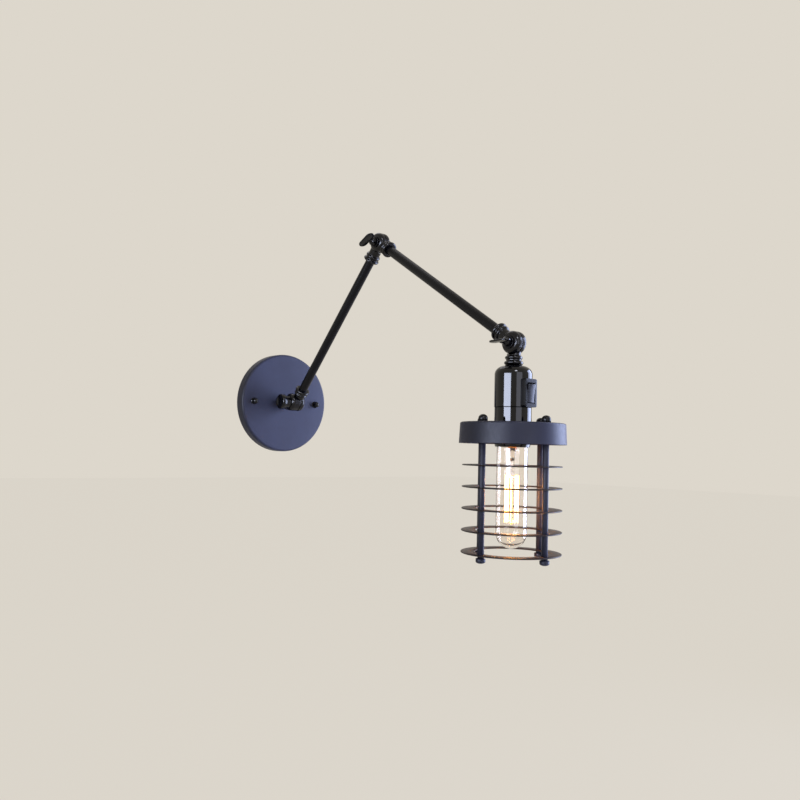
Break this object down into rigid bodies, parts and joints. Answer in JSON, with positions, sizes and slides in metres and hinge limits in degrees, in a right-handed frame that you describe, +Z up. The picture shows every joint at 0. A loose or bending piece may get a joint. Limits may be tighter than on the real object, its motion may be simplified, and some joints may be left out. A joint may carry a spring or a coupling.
{
  "type": "swing arm wall lamp",
  "caption": "Wall lamp on a round canopy, with jointed tube arms, thumb screw knuckles, a switched lampholder and an open ring cage round a tubular bulb.",
  "frame": {"origin": "centre of the crossbar's wall screw holes, on the wall behind the canopy's centre", "axes": "+Z up, -Y out from the wall into the room, +X to the right as seen from the room"},
  "size_m": [0.121, 0.4399, 0.331],
  "materials": {
    "black_powder_coat": "satin black powder coat",
    "zinc_steel": "zinc plated",
    "brass": "drawn brass",
    "bronze_washer": "dull",
    "gloss_phenolic": "moulded, gloss",
    "ivory_insulator": "glazed",
    "black_insulator": "gloss",
    "green_screw": "green",
    "clear_glass": "clear, faint amber",
    "filament": "lit"
  },
  "bodies": {
    "wall_mount": {"canopy": "black_powder_coat", "wall_crossbar": "zinc_steel", "crossbar_studs": "zinc_steel", "canopy_cap_nuts": "black_powder_coat", "earth_screw": "green_screw", "terminal_block": "ivory_insulator", "stem_nipple": "zinc_steel", "nipple_washer": "zinc_steel", "nipple_lock_nut": "zinc_steel", "wall_knuckle": "black_powder_coat", "wall_friction_washer": "bronze_washer"},
    "lower_arm": {"lower_arm_knuckle": "black_powder_coat", "lower_arm_tube": "black_powder_coat", "elbow_lower_knuckle": "black_powder_coat", "elbow_friction_washer": "bronze_washer", "elbow_collar": "black_powder_coat"},
    "upper_arm": {"elbow_upper_knuckle": "black_powder_coat", "upper_arm_tube": "black_powder_coat", "head_upper_knuckle": "black_powder_coat", "head_friction_washer": "bronze_washer", "head_collar": "black_powder_coat"},
    "lamp_head": {"head_knuckle": "black_powder_coat", "socket_cap": "gloss_phenolic", "socket_skirt": "gloss_phenolic", "shade_ring": "gloss_phenolic", "screw_shell": "brass", "shell_base": "ivory_insulator", "centre_contact": "brass", "switch_housing": "gloss_phenolic", "cage_pan": "black_powder_coat", "rod_front": "black_powder_coat", "rod_left": "black_powder_coat", "rod_back": "black_powder_coat", "rod_right": "black_powder_coat", "rod_top_nuts": "black_powder_coat", "rod_feet": "black_powder_coat", "ring_1": "black_powder_coat", "ring_2": "black_powder_coat", "ring_3": "black_powder_coat", "ring_4": "black_powder_coat", "ring_5": "black_powder_coat", "bulb_glass": "clear_glass", "bulb_cap": "brass", "bulb_cap_insulator": "black_insulator", "bulb_stem": "clear_glass", "bulb_filament": "filament"},
    "wall_knob": {"wall_clamp_knob": "black_powder_coat"},
    "elbow_screw": {"elbow_thumb_screw": "black_powder_coat"},
    "head_screw": {"head_thumb_screw": "black_powder_coat"},
    "rocker": {"switch_rocker": "gloss_phenolic"}
  },
  "joints": [
    {"name": "wall_pivot", "type": "hinge", "parent": "wall_mount", "child": "lower_arm", "pos_m": [0, -0.038, 0], "axis": [1, 0, 0], "range_deg": [-45, 135]},
    {"name": "elbow_pivot", "type": "hinge", "parent": "lower_arm", "child": "upper_arm", "pos_m": [0, -0.19499, 0.17013], "axis": [1, 0, 0], "range_deg": [-150, 28]},
    {"name": "head_pivot", "type": "hinge", "parent": "upper_arm", "child": "lamp_head", "pos_m": [0, -0.39191, 0.04372], "axis": [1, 0, 0], "range_deg": [-165, 50]},
    {"name": "wall_knob_turn", "type": "hinge", "parent": "lower_arm", "child": "wall_knob", "pos_m": [0, -0.038, 0], "axis": [1, 0, 0], "range_deg": [-180, 180]},
    {"name": "elbow_screw_turn", "type": "hinge", "parent": "upper_arm", "child": "elbow_screw", "pos_m": [0, -0.19499, 0.17013], "axis": [1, 0, 0], "range_deg": [-180, 180]},
    {"name": "head_screw_turn", "type": "hinge", "parent": "lamp_head", "child": "head_screw", "pos_m": [0, -0.39191, 0.04372], "axis": [1, 0, 0], "range_deg": [-180, 180]},
    {"name": "rocker_tip", "type": "hinge", "parent": "lamp_head", "child": "rocker", "pos_m": [0, -0.41031, -0.00228], "axis": [1, 0, 0], "range_deg": [-14, 0]}
  ]
}
